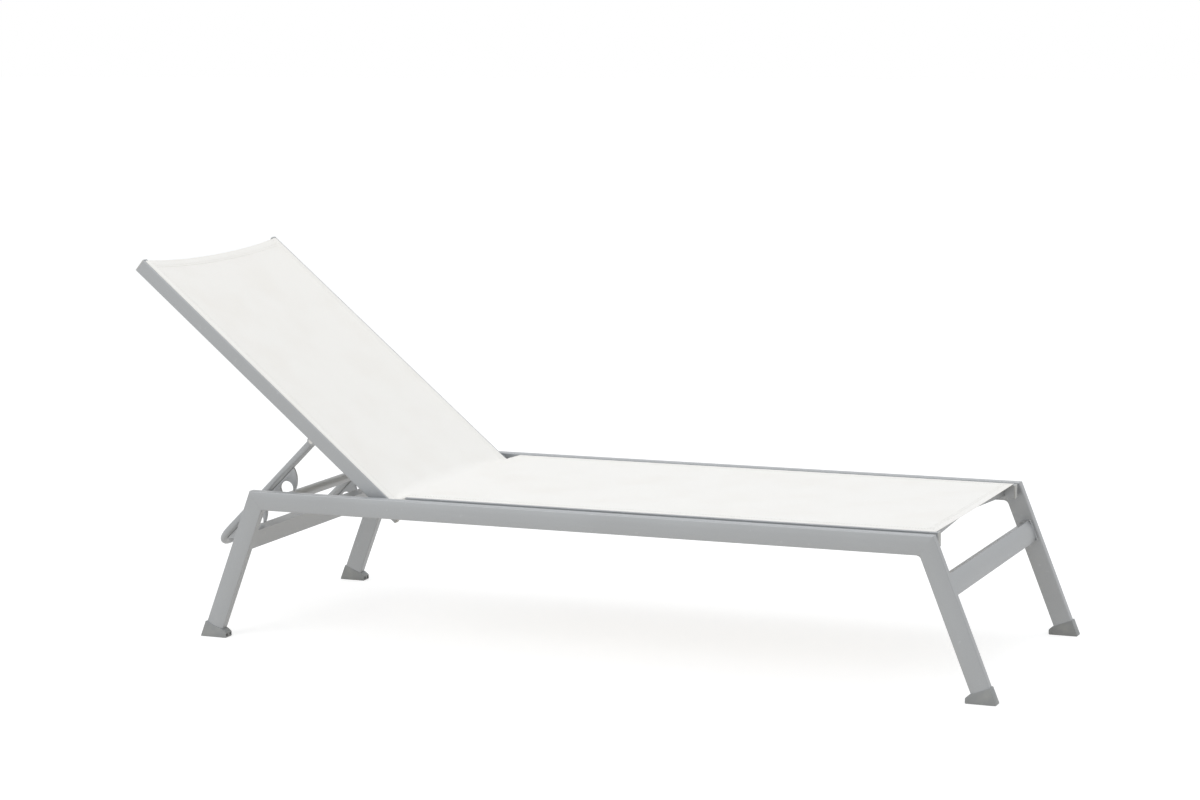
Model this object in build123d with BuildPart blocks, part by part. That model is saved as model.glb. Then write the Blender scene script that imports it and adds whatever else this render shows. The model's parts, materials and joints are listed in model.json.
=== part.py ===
from build123d import *
from math import atan2, cos, hypot, radians, sin, sqrt
import os

os.makedirs("parts", exist_ok=True)

# An adjustable sun lounger: two crowned-tube side frames on splayed legs, a seat and a
# reclining back of slotted sling rails, and a hooked bail that props the back on a bar.
# x runs from the head end to the foot end, y to the sitter's left and z up from the
# ground. Lengths are in millimetres and angles in degrees.

# Side frames: a rail with a mitred leg at each end, of crowned tube
overall_width = 650
corner_span = 1490
frame_height = 320
leg_splay = 21.33
leg_end_height = 32.7
tube_depth = 40
tube_thickness = 22
tube_crown = 3
tube_wall = 2
tube_corner = 2.5
tube_inside_corner = 1
corner_weld_radius = 12

# Moulded glides in the leg ends
glide_length = 62
glide_heel_height = 13
glide_lip = 1.8
glide_side_lip = 1
glide_plug_length = 25
glide_edge = 1.5
glide_notch = 2.5

# Cross members of the fixed frame
stretcher_height = 44
stretcher_crown = 4
stretcher_recess = 6.5
stretcher_back_recess = 11
foot_stretcher_drop = 103.6
head_stretcher_drop = 109
catch_bar_radius = 11
catch_bar_wall = 2
catch_bar_from_middle = 736.8
catch_bar_drop = 38.4

# Slotted rails that hold the sling's edges
rail_width = 16
rail_height = 30
rail_wall = 2
rail_corner = 1.5
rail_gap = 18.5
seat_rail_rise = 0.5
seat_rail_foot = 744.5
channel_radius = 3.5
channel_wall = 1.5
slot_width = 2.5
slot_lip = 2.5
web_thickness = 1.5
cap_thickness = 2.5
cap_plug_length = 12

# Bolts and spacers between the seat rails and the side frames
seat_bolt_radius = 3
seat_bolt_head_radius = 5.5
seat_bolt_head_height = 3
seat_nut_across = 10
seat_nut_height = 5
seat_spacer_radius = 8
seat_bolt_shares = (0.05, 0.34, 0.63, 0.92)

# Back hinge
hinge_from_middle = 449
recline = 40.1
back_tail = 46
tail_clearance = 2.6
back_length = 745
hinge_bolt_radius = 4
hinge_head_radius = 6.5
hinge_head_height = 5
washer_radius = 8.5
washer_thickness = 1.7
bush_radius = 6
bush_flange_radius = 9
bush_flange_thickness = 2.8
hinge_spacer_radius = 9
hinge_nut_across = 13
hinge_nut_height = 6.5

# Spreaders and braces between the sling rails
bow_radius = 10
bow_wall = 1.5
bow_end_run = 40
bow_slope_run = 80
bow_bend_radius = 90
seat_bow_drop = 35
back_bow_drop = 40
seat_bow_from_foot = 574.5
seat_bow_from_head = 18
back_bow_from_top = 55
foot_spreader_thickness = 12
foot_spreader_setback = 23.5
foot_spreader_end_height = 21
foot_spreader_mid_height = 8
foot_spreader_taper = 210
foot_spreader_below_rail = 4.5
lower_brace_place = 216
lower_brace_width = 30
lower_brace_depth = 16
lower_brace_wall = 1.5

# Bail: pivots, bent tube and hook plates
bail_pin_radius = 4
bail_pin_head_radius = 6
bail_pin_head_height = 2
bail_arm_inset = 32.5
bail_tube_radius = 9
bail_tube_wall = 1.5
bail_length = 338
bail_bend_radius = 45
bail_lug_length = 14
bail_lug_plug = 18
bracket_thickness = 3
bracket_eye_radius = 10
pin_below_bracket = 13
hook_plate_thickness = 5
hook_pitch = 52
hook_row = 28.5
notch_radius = 15
claw_root_run = 43.5
claw_bulge_run = 30.3
claw_bulge_rise = 4.8
claw_tip_run = 11
claw_tip_rise = 16.6
claw_tip_round = 1.2
claw_mouth_run = 7.5
hook_strip_height = 9
hook_tail_run = 34
hook_tail_rise = 15
hooks_before = 1
hooks_after = 2

# Sling and the splines in its hems
sling_thickness = 0.9
spline_radius = 2.45
hem_loop_radius = 3.1
sling_edge_margin = 3
sling_flat_margin = 3.5
seat_sag = 9
seat_sag_shares = (0.2, 0.85, 1.0, 0.75)
seat_station_shares = (0.0, 0.25, 0.6, 1.0)
back_sag = 10
back_sag_shares = (0.6, 1.0, 1.0, 0.6)
back_station_shares = (0.0, 0.3, 0.7, 1.0)
back_sling_start = 13.7
bridge_gap = 1.6
hem_dip = 13

# Clearances and the overrun that cuts share
running_fit = 0.05
body_gap = 0.3
bolt_clearance = 0.2
weld_fit = 0.02
plug_fit = 0.2
overrun = 5

# Values that follow from the sizes above
inner_y = overall_width / 2 - tube_thickness
crown_y = overall_width / 2
shoulder_y = crown_y - tube_crown
rail_outer_y = inner_y - rail_gap
rail_inner_y = rail_outer_y - rail_width
rail_mid_y = (rail_outer_y + rail_inner_y) / 2
rail_centre_z = frame_height + seat_rail_rise - rail_height / 2
half_rail = rail_height / 2
seat_rail_head = hinge_from_middle - hypot(back_tail, half_rail) - tail_clearance
bail_arm_y = rail_inner_y - bail_arm_inset
channel_y = rail_outer_y - channel_wall - channel_radius
channel_z = half_rail - channel_wall - channel_radius
slot_y = rail_outer_y - slot_lip - slot_width / 2
chamber_top = channel_z - channel_radius - web_thickness
chamber_bottom = rail_wall - half_rail
splay_sin = sin(radians(leg_splay))
splay_cos = cos(radians(leg_splay))
leg_length = (frame_height - leg_end_height) / splay_cos
back_sin = sin(radians(recline))
back_cos = cos(radians(recline))
corner_x = corner_span / 2
sides = {"right": -1, "left": 1}
ends = {"head": -1, "foot": 1}


def leg_point(along, inward):
    """Side-view place on the foot leg: along its outer edge from the corner, then inward."""
    x = corner_x + along * splay_sin - inward * splay_cos
    z = frame_height - along * splay_cos - inward * splay_sin
    return x, z


toe_top = leg_point(leg_length, -glide_lip)
toe_x = toe_top[0] + toe_top[1] * splay_sin / splay_cos
back_reach = hinge_from_middle + back_length * back_cos + half_rail * back_sin
frame_middle = (back_reach - toe_x) / 2
hinge_x = frame_middle - hinge_from_middle


def back_point(along, below):
    """Side-view place on the back: headwards from the hinge, then below the rail's middle."""
    x = hinge_x - along * back_cos - below * back_sin
    z = rail_centre_z + along * back_sin - below * back_cos
    return x, z


# The bail's pin hangs under the lower brace, and its second hook holds the catch bar
lower_brace_below = half_rail
pin_below = lower_brace_below + bracket_thickness + pin_below_bracket
pin_x, pin_z = back_point(lower_brace_place, pin_below)
bar_x = frame_middle - catch_bar_from_middle
catch_bar_height = frame_height - catch_bar_drop
pin_to_bar = hypot(bar_x - pin_x, catch_bar_height - pin_z)
seat_slack = notch_radius - catch_bar_radius - body_gap
pin_to_notch = pin_to_bar + seat_slack
notch_run = sqrt(pin_to_notch ** 2 - hook_row ** 2)
bar_angle = atan2(catch_bar_height - pin_z, pin_x - bar_x)
arm_angle = bar_angle + atan2(hook_row, notch_run)


def frame_plane(y):
    """Side view of the fixed frame: x from the middle of the side frames, z up."""
    return Plane(origin=(frame_middle, y, 0), x_dir=(1, 0, 0), z_dir=(0, -1, 0))


def back_plane(y):
    """Side view of the back: x headwards from the hinge, y towards the sitter."""
    return Plane(origin=(hinge_x, y, rail_centre_z), x_dir=(-back_cos, 0, back_sin), z_dir=(0, 1, 0))


def bail_plane(y):
    """Side view of the bail: x along the arm from the pin, y out of its underside."""
    arm = (-cos(arm_angle), 0, sin(arm_angle))
    return Plane(origin=(pin_x, y, pin_z), x_dir=arm, z_dir=(0, -1, 0))


def seat_section(x):
    """Cross-section of the seat rails at a place along the frame: x is y, y is up."""
    return Plane(origin=(frame_middle + x, 0, rail_centre_z), x_dir=(0, 1, 0), z_dir=(1, 0, 0))


def back_section(along):
    """Cross-section of the back at a place up from the hinge: x is y, y is to the sitter."""
    x, z = back_point(along, 0)
    return Plane(origin=(x, 0, z), x_dir=(0, 1, 0), z_dir=(back_cos, 0, -back_sin))


def mitre_plane(end):
    """Plane that halves the corner between a side rail and the leg at that end."""
    corner = (frame_middle + end * corner_x, 0, frame_height)
    return Plane(origin=corner, x_dir=(0, 1, 0), z_dir=(end * (1 + splay_sin), 0, -splay_cos))


def side_rail_section():
    """Cross-section of the side rails at the head end: x is y, y is up from their middle."""
    low = frame_height - tube_depth / 2
    return Plane(origin=(frame_middle - corner_x, 0, low), x_dir=(0, 1, 0), z_dir=(1, 0, 0))


def leg_end_plane(end):
    """Square lower end of a leg, looking up the leg."""
    x, z = leg_point(leg_length, tube_depth / 2)
    up = (-end * splay_sin, 0, splay_cos)
    return Plane(origin=(frame_middle + end * x, 0, z), x_dir=(0, 1, 0), z_dir=up)


def start_y(side, near, far):
    """Where a side-view sketch starts, so that it extrudes over near to far on that side."""
    return far if side > 0 else -near


def hand_over(builder, node):
    """Label a finished piece and write it."""
    builder.part.label = node
    export_step(builder.part, f"parts/{node}.step")


def crowned_section(side, inset):
    """Crowned tube: flat on its inboard face and bowed on its outboard one."""
    half = tube_depth / 2 - inset
    flat = side * (inner_y + inset)
    shoulder = side * (shoulder_y - inset)
    crown = side * (crown_y - inset)
    with BuildSketch() as section:
        with BuildLine():
            Polyline((shoulder, half), (flat, half), (flat, -half), (shoulder, -half))
            ThreePointArc((shoulder, -half), (crown, 0), (shoulder, half))
        make_face()
        fillet(section.vertices(), tube_inside_corner if inset else tube_corner)
    return section.sketch


def sling_rail_section(side):
    """Slotted rail: a hollow chamber with the round channel and its slot above it."""
    with Locations((side * rail_mid_y, 0)):
        RectangleRounded(rail_width, rail_height, rail_corner)
    chamber_height = chamber_top - chamber_bottom
    with Locations((side * rail_mid_y, (chamber_top + chamber_bottom) / 2)):
        Rectangle(rail_width - 2 * rail_wall, chamber_height, mode=Mode.SUBTRACT)
    with Locations((side * channel_y, channel_z)):
        Circle(channel_radius, mode=Mode.SUBTRACT)
    slot_height = half_rail - channel_z
    with Locations((side * slot_y, channel_z + slot_height / 2)):
        Rectangle(slot_width, slot_height, mode=Mode.SUBTRACT)


def rail_outline(side, inset):
    """Outer outline of a slotted rail, for its end caps."""
    with Locations((side * rail_mid_y, 0)):
        RectangleRounded(rail_width - 2 * inset, rail_height - 2 * inset, rail_corner)


def chamber_outline(side):
    """Plug that fits the rail's hollow chamber."""
    height = chamber_top - chamber_bottom - 2 * plug_fit
    with Locations((side * rail_mid_y, (chamber_top + chamber_bottom) / 2)):
        Rectangle(rail_width - 2 * rail_wall - 2 * plug_fit, height)


# Places of the bolts that hold the seat rails
seat_rail_length = seat_rail_foot + seat_rail_head
seat_bolt_z = rail_centre_z + (chamber_top + chamber_bottom) / 2
seat_bolt_places = [share * seat_rail_length - seat_rail_head for share in seat_bolt_shares]
seat_bolt_points = [(x, seat_bolt_z) for x in seat_bolt_places]
hinge_point = (-hinge_from_middle, rail_centre_z)

tube_outlines = {side: crowned_section(side, 0) for side in sides.values()}
tube_hollows = {side: crowned_section(side, tube_wall) for side in sides.values()}
tube_plugs = {side: crowned_section(side, tube_wall + plug_fit) for side in sides.values()}

# Side rails, mitred at both ends and bored on the inboard face
for side_name, side in sides.items():
    with BuildPart() as side_rail:
        with BuildSketch(side_rail_section()):
            add(tube_outlines[side])
        extrude(amount=corner_span)
        with BuildSketch(side_rail_section()):
            add(tube_hollows[side])
        extrude(amount=corner_span, mode=Mode.SUBTRACT)
        for end in ends.values():
            split(bisect_by=mitre_plane(end), keep=Keep.BOTTOM)
        with BuildSketch(frame_plane(start_y(side, inner_y - overrun, inner_y + overrun))):
            with Locations(*seat_bolt_points):
                Circle(seat_bolt_radius + bolt_clearance)
            with Locations(hinge_point):
                Circle(hinge_bolt_radius + bolt_clearance)
        extrude(amount=2 * overrun, mode=Mode.SUBTRACT)
    hand_over(side_rail, f"side_rail_{side_name}")

# Legs, cut square at the foot and mitred at the rail
for end_name, end in ends.items():
    for side_name, side in sides.items():
        with BuildPart() as leg:
            with BuildSketch(leg_end_plane(end)):
                add(tube_outlines[side])
            extrude(amount=leg_length + tube_depth)
            with BuildSketch(leg_end_plane(end)):
                add(tube_hollows[side])
            extrude(amount=leg_length + tube_depth, mode=Mode.SUBTRACT)
            split(bisect_by=mitre_plane(end), keep=Keep.TOP)
        hand_over(leg, f"{end_name}_leg_{side_name}")

# Dressed welds that round the inside corners between rails and legs
inside_x = corner_x - tube_depth * (1 - splay_sin) / splay_cos
inside_z = frame_height - tube_depth
weld_reach = corner_weld_radius * (1 - splay_sin) / splay_cos
weld_hollow = corner_weld_radius * (hypot(1, (1 - splay_sin) / splay_cos) - 1)
bisector = hypot(1 - splay_sin, splay_cos)
weld_x = weld_hollow * (splay_sin - 1) / bisector
weld_z = -weld_hollow * splay_cos / bisector
weld_near = inner_y + tube_corner
weld_far = shoulder_y - tube_corner
with BuildPart() as corner_welds:
    for end in ends.values():
        for side in sides.values():
            with BuildSketch(frame_plane(start_y(side, weld_near, weld_far))):
                with BuildLine():
                    corner = (end * inside_x, inside_z)
                    on_rail = (end * (inside_x - weld_reach), inside_z)
                    down_leg = inside_z - weld_reach * splay_cos
                    on_leg = (end * (inside_x + weld_reach * splay_sin), down_leg)
                    hollow = (end * (inside_x + weld_x), inside_z + weld_z)
                    Polyline(on_leg, corner, on_rail)
                    ThreePointArc(on_rail, hollow, on_leg)
                make_face()
            extrude(amount=weld_far - weld_near)
hand_over(corner_welds, "corner_welds")

# Glides: a wedge that stands flat on the ground, and a plug that fills the leg's end
heel_x = toe_x - glide_length
sole_edge = leg_point(leg_length, tube_depth + glide_side_lip)
for end_name, end in ends.items():
    for side_name, side in sides.items():
        with BuildPart() as glide:
            near = inner_y - glide_side_lip
            far = crown_y + glide_side_lip
            with BuildSketch(frame_plane(start_y(side, near, far))):
                with BuildLine():
                    heel_top = glide_heel_height
                    Polyline(
                        (end * heel_x, 0),
                        (end * toe_x, 0),
                        (end * toe_top[0], toe_top[1]),
                        (end * sole_edge[0], sole_edge[1]),
                        (end * (heel_x + glide_notch), heel_top),
                        (end * heel_x, heel_top - glide_notch),
                        close=True,
                    )
                make_face()
            extrude(amount=far - near)
            chamfer(glide.edges().filter_by(Axis.Y).group_by(Axis.Z)[0], glide_edge)
            with BuildSketch(leg_end_plane(end)):
                add(tube_plugs[side])
            extrude(amount=glide_plug_length)
        hand_over(glide, f"{end_name}_glide_{side_name}")

# Stretchers between the legs, crowned on the face that looks away from the lounger
for (end_name, end), drop in zip(ends.items(), (head_stretcher_drop, foot_stretcher_drop)):
    x, z = leg_point(drop, 0)
    inward = (-end * splay_cos, 0, -splay_sin)
    half = stretcher_height / 2
    crown = stretcher_recess
    edge = stretcher_recess + stretcher_crown
    back = tube_depth - stretcher_back_recess
    with BuildPart() as stretcher:
        for inset in (0, tube_wall):
            place = Plane(origin=(frame_middle + end * x, 0, z), x_dir=inward, z_dir=(0, -1, 0))
            with BuildSketch(place):
                with BuildLine():
                    tall = half - inset
                    front_edge = edge + inset
                    rear = back - inset
                    Polyline((front_edge, tall), (rear, tall), (rear, -tall), (front_edge, -tall))
                    ThreePointArc((front_edge, -tall), (crown + inset, 0), (front_edge, tall))
                make_face()
            extrude(amount=inner_y, both=True, mode=Mode.ADD if inset == 0 else Mode.SUBTRACT)
    hand_over(stretcher, f"{end_name}_stretcher")

# Catch bar that the bail's hooks take hold of
with BuildPart() as catch_bar:
    with BuildSketch(frame_plane(0)):
        with Locations((-catch_bar_from_middle, catch_bar_height)):
            Circle(catch_bar_radius)
            Circle(catch_bar_radius - catch_bar_wall, mode=Mode.SUBTRACT)
    extrude(amount=inner_y, both=True)
hand_over(catch_bar, "catch_bar")

# Seat rails: slotted extrusions with cross holes for their bolts
for side_name, side in sides.items():
    with BuildPart() as seat_rail:
        with BuildSketch(seat_section(cap_thickness - seat_rail_head)):
            sling_rail_section(side)
        extrude(amount=seat_rail_length - 2 * cap_thickness)
        near = rail_inner_y - overrun
        far = rail_outer_y + overrun
        with BuildSketch(frame_plane(start_y(side, near, far))):
            with Locations(*seat_bolt_points):
                Circle(seat_bolt_radius + bolt_clearance)
        extrude(amount=far - near, mode=Mode.SUBTRACT)
    hand_over(seat_rail, f"seat_rail_{side_name}")

# Plastic caps in the four ends of the seat rails
with BuildPart() as seat_rail_caps:
    for side in sides.values():
        for x, inwards in ((cap_thickness - seat_rail_head, 1), (seat_rail_foot - cap_thickness, -1)):
            with BuildSketch(seat_section(x)):
                rail_outline(side, 0)
            extrude(amount=-inwards * cap_thickness)
            with BuildSketch(seat_section(x)):
                chamber_outline(side)
            extrude(amount=inwards * cap_plug_length)
hand_over(seat_rail_caps, "seat_rail_caps")

# Spacers, bolts and nuts that hang the seat rails inside the side frames
with BuildPart() as seat_rail_spacers:
    for side in sides.values():
        with BuildSketch(frame_plane(start_y(side, rail_outer_y, inner_y))):
            with Locations(*seat_bolt_points):
                Circle(seat_spacer_radius)
                Circle(seat_bolt_radius + bolt_clearance, mode=Mode.SUBTRACT)
        extrude(amount=rail_gap)
hand_over(seat_rail_spacers, "seat_rail_spacers")

seat_nut_start = inner_y + tube_wall
seat_bolt_tip = seat_nut_start + seat_nut_height + seat_bolt_radius
with BuildPart() as seat_rail_bolts:
    for side in sides.values():
        with BuildSketch(frame_plane(start_y(side, rail_inner_y, seat_bolt_tip))):
            with Locations(*seat_bolt_points):
                Circle(seat_bolt_radius)
        extrude(amount=seat_bolt_tip - rail_inner_y)
        near = rail_inner_y - seat_bolt_head_height
        with BuildSketch(frame_plane(start_y(side, near, rail_inner_y))):
            with Locations(*seat_bolt_points):
                Circle(seat_bolt_head_radius)
        extrude(amount=seat_bolt_head_height)
hand_over(seat_rail_bolts, "seat_rail_bolts")

with BuildPart() as frame_nuts:
    for side in sides.values():
        with BuildSketch(frame_plane(start_y(side, seat_nut_start, seat_nut_start + seat_nut_height))):
            with Locations(*seat_bolt_points):
                RegularPolygon(seat_nut_across / 2, 6, major_radius=False)
                Circle(seat_bolt_radius + weld_fit, mode=Mode.SUBTRACT)
        extrude(amount=seat_nut_height)
        with BuildSketch(frame_plane(start_y(side, seat_nut_start, seat_nut_start + hinge_nut_height))):
            with Locations(hinge_point):
                RegularPolygon(hinge_nut_across / 2, 6, major_radius=False)
                Circle(hinge_bolt_radius + weld_fit, mode=Mode.SUBTRACT)
        extrude(amount=hinge_nut_height)
hand_over(frame_nuts, "frame_nuts")

# Tapered spreader that keeps the seat rails apart at the foot end
spreader_x = seat_rail_foot - foot_spreader_setback - foot_spreader_thickness
spreader_top = half_rail - foot_spreader_below_rail
with BuildPart() as foot_spreader:
    with BuildSketch(seat_section(spreader_x)):
        low = spreader_top - foot_spreader_end_height
        middle_low = spreader_top - foot_spreader_mid_height
        taper_y = rail_inner_y - foot_spreader_taper
        with BuildLine():
            Polyline(
                (-rail_inner_y, low),
                (-taper_y, middle_low),
                (taper_y, middle_low),
                (rail_inner_y, low),
                (rail_inner_y, spreader_top),
                (-rail_inner_y, spreader_top),
                close=True,
            )
        make_face()
    extrude(amount=foot_spreader_thickness)
hand_over(foot_spreader, "foot_spreader")


def bowed_route(drop):
    """Line from rail to rail that dips in the middle, clear of a sitter's weight."""
    flat_y = rail_inner_y - bow_end_run
    dip_y = flat_y - bow_slope_run
    half_route = [(rail_inner_y, 0), (flat_y, 0), (dip_y, -drop)]
    mirrored = [(-y, z) for y, z in half_route]
    FilletPolyline(*mirrored, *reversed(half_route), radius=bow_bend_radius)


# Bowed tubes across the seat and the back
bow_places = [
    seat_section(seat_rail_foot - seat_bow_from_foot),
    seat_section(seat_bow_from_head - seat_rail_head),
    back_section(back_length - back_bow_from_top),
]
bow_names = ("seat_spreader_foot", "seat_spreader_head", "back_upper_brace")
for place, node in zip(bow_places, bow_names):
    drop = back_bow_drop if node == "back_upper_brace" else seat_bow_drop
    with BuildPart() as spreader:
        with BuildLine(place) as route:
            bowed_route(drop)
        with BuildSketch(Plane(origin=route.line @ 0, z_dir=route.line % 0)):
            Circle(bow_radius)
            Circle(bow_radius - bow_wall, mode=Mode.SUBTRACT)
        sweep(path=route.line)
    hand_over(spreader, node)

# Back rails, with a bushed cross hole for the hinge
back_rail_length = back_length + back_tail - 2 * cap_thickness
for side_name, side in sides.items():
    with BuildPart() as back_rail:
        with BuildSketch(back_section(back_length - cap_thickness)):
            sling_rail_section(side)
        extrude(amount=back_rail_length)
        near = rail_inner_y - overrun
        far = rail_outer_y + overrun
        with BuildSketch(frame_plane(start_y(side, near, far))):
            with Locations(hinge_point):
                Circle(bush_radius + weld_fit)
        extrude(amount=far - near, mode=Mode.SUBTRACT)
    hand_over(back_rail, f"back_rail_{side_name}")

with BuildPart() as back_rail_caps:
    for side in sides.values():
        for along, inwards in ((back_length - cap_thickness, 1), (cap_thickness - back_tail, -1)):
            with BuildSketch(back_section(along)):
                rail_outline(side, 0)
            extrude(amount=-inwards * cap_thickness)
            with BuildSketch(back_section(along)):
                chamber_outline(side)
            extrude(amount=inwards * cap_plug_length)
hand_over(back_rail_caps, "back_rail_caps")

# Hinge: a flanged bush in each back rail turns on a bolt from the side frame
with BuildPart() as hinge_bushes:
    for side in sides.values():
        flange_y = rail_outer_y + bush_flange_thickness
        with BuildSketch(frame_plane(start_y(side, rail_inner_y, flange_y))):
            with Locations(hinge_point):
                Circle(bush_radius)
        extrude(amount=flange_y - rail_inner_y)
        with BuildSketch(frame_plane(start_y(side, rail_outer_y, flange_y))):
            with Locations(hinge_point):
                Circle(bush_flange_radius)
        extrude(amount=bush_flange_thickness)
        with BuildSketch(frame_plane(start_y(side, rail_inner_y - overrun, flange_y + overrun))):
            with Locations(hinge_point):
                Circle(hinge_bolt_radius + running_fit)
        extrude(amount=flange_y - rail_inner_y + 2 * overrun, mode=Mode.SUBTRACT)
hand_over(hinge_bushes, "hinge_bushes")

washer_y = rail_inner_y - body_gap - washer_thickness
hinge_head_y = washer_y - hinge_head_height
hinge_bolt_tip = seat_nut_start + hinge_nut_height + weld_fit
with BuildPart() as hinge_bolts:
    for side in sides.values():
        with BuildSketch(frame_plane(start_y(side, washer_y, hinge_bolt_tip))):
            with Locations(hinge_point):
                Circle(hinge_bolt_radius)
        extrude(amount=hinge_bolt_tip - washer_y)
        with BuildSketch(frame_plane(start_y(side, hinge_head_y, washer_y))):
            with Locations(hinge_point):
                RegularPolygon(hinge_head_radius, 6, major_radius=False)
        extrude(amount=hinge_head_height)
hand_over(hinge_bolts, "hinge_bolts")

hinge_spacer_y = rail_outer_y + bush_flange_thickness + body_gap
with BuildPart() as hinge_washers:
    for side in sides.values():
        with BuildSketch(frame_plane(start_y(side, washer_y, rail_inner_y - body_gap))):
            with Locations(hinge_point):
                Circle(washer_radius)
                Circle(hinge_bolt_radius + bolt_clearance, mode=Mode.SUBTRACT)
        extrude(amount=washer_thickness)
hand_over(hinge_washers, "hinge_washers")

with BuildPart() as hinge_spacers:
    for side in sides.values():
        with BuildSketch(frame_plane(start_y(side, hinge_spacer_y, inner_y))):
            with Locations(hinge_point):
                Circle(hinge_spacer_radius)
                Circle(hinge_bolt_radius + bolt_clearance, mode=Mode.SUBTRACT)
        extrude(amount=inner_y - hinge_spacer_y)
hand_over(hinge_spacers, "hinge_spacers")

# Lower brace of the back: a flat rectangular tube between the back rails
with BuildPart() as back_lower_brace:
    for inset in (0, lower_brace_wall):
        wide = lower_brace_width - 2 * inset
        deep = lower_brace_depth - 2 * inset
        with BuildSketch(back_plane(0)):
            with Locations((lower_brace_place, lower_brace_depth / 2 - lower_brace_below)):
                RectangleRounded(wide, deep, rail_corner)
        extrude(amount=rail_inner_y, both=True, mode=Mode.ADD if inset == 0 else Mode.SUBTRACT)
hand_over(back_lower_brace, "back_lower_brace")

# Brackets under the brace: a base plate and two cheeks with rounded eyes for the pin
bracket_gap = 2 * (bail_tube_radius + body_gap)
bracket_base = -lower_brace_below
pin_height = -pin_below
for side_name, side in sides.items():
    with BuildPart() as bracket:
        near = bail_arm_y - bracket_gap / 2 - bracket_thickness
        far = bail_arm_y + bracket_gap / 2 + bracket_thickness
        for mode, from_y, to_y in (
            (Mode.ADD, near, far),
            (Mode.SUBTRACT, near + bracket_thickness, far - bracket_thickness),
        ):
            top = bracket_base if mode == Mode.ADD else bracket_base - bracket_thickness
            with BuildSketch(back_plane(-start_y(-side, from_y, to_y))):
                with BuildLine():
                    half = lower_brace_width / 2
                    pin_at = (lower_brace_place, pin_height)
                    low = pin_height - (0 if mode == Mode.ADD else bracket_eye_radius + overrun)
                    left = lower_brace_place - (bracket_eye_radius if mode == Mode.ADD else half)
                    right = lower_brace_place + (bracket_eye_radius if mode == Mode.ADD else half)
                    foot = top - bracket_thickness
                    Polyline(
                        (left, low),
                        (lower_brace_place - half, foot),
                        (lower_brace_place - half, top),
                        (lower_brace_place + half, top),
                        (lower_brace_place + half, foot),
                        (right, low),
                        close=True,
                    )
                make_face()
                if mode == Mode.ADD:
                    with Locations(pin_at):
                        Circle(bracket_eye_radius)
            extrude(amount=to_y - from_y, mode=mode)
        with BuildSketch(back_plane(-start_y(-side, near - overrun, far + overrun))):
            with Locations((lower_brace_place, pin_height)):
                Circle(bail_pin_radius + weld_fit)
        extrude(amount=far - near + 2 * overrun, mode=Mode.SUBTRACT)
    hand_over(bracket, f"bail_bracket_{side_name}")

# Clevis pins: a head on the outboard cheek and a clip on the inboard one
pin_near = bail_arm_y - bracket_gap / 2 - bracket_thickness
pin_far = bail_arm_y + bracket_gap / 2 + bracket_thickness
with BuildPart() as bail_pins:
    for side in sides.values():
        near = pin_near - bail_pin_head_height
        far = pin_far + bail_pin_head_height
        for radius, from_y, to_y in (
            (bail_pin_radius, near, far),
            (bail_pin_head_radius, near, pin_near),
            (bail_pin_head_radius, pin_far, far),
        ):
            with BuildSketch(bail_plane(start_y(side, from_y, to_y))):
                Circle(radius)
            extrude(amount=to_y - from_y)
hand_over(bail_pins, "bail_pins")

# Bail: one tube bent to a square loop, with solid lugs that turn on the pins
arm_along = (-cos(arm_angle), 0, sin(arm_angle))
arm_under = (-sin(arm_angle), 0, -cos(arm_angle))
arm_plane = Plane(origin=(pin_x, 0, pin_z), x_dir=arm_along, z_dir=arm_under)
with BuildPart() as bail_tube:
    with BuildLine(arm_plane) as route:
        FilletPolyline(
            (bail_lug_length, -bail_arm_y),
            (bail_length, -bail_arm_y),
            (bail_length, bail_arm_y),
            (bail_lug_length, bail_arm_y),
            radius=bail_bend_radius,
        )
    with BuildSketch(Plane(origin=route.line @ 0, z_dir=route.line % 0)):
        Circle(bail_tube_radius)
        Circle(bail_tube_radius - bail_tube_wall, mode=Mode.SUBTRACT)
    sweep(path=route.line)
hand_over(bail_tube, "bail_tube")

with BuildPart() as bail_lugs:
    for side in sides.values():
        with BuildSketch(arm_plane) as lug_profile:
            with BuildLine():
                y = side * bail_arm_y
                plug_y = bail_tube_radius - bail_tube_wall - weld_fit
                Polyline(
                    (-bail_tube_radius, y),
                    (bail_lug_length + bail_lug_plug, y),
                    (bail_lug_length + bail_lug_plug, y + plug_y),
                    (bail_lug_length, y + plug_y),
                    (bail_lug_length, y + bail_tube_radius),
                    (0, y + bail_tube_radius),
                )
                CenterArc((0, y), bail_tube_radius, 90, 90)
            make_face()
        axis_start = arm_plane.from_local_coords((0, y, 0))
        revolve(axis=Axis(axis_start, arm_plane.x_dir))
        reach = bail_tube_radius + overrun
        with BuildSketch(bail_plane(start_y(side, bail_arm_y - reach, bail_arm_y + reach))):
            Circle(bail_pin_radius + running_fit)
        extrude(amount=2 * reach, mode=Mode.SUBTRACT)
hand_over(bail_lugs, "bail_lugs")

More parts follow.
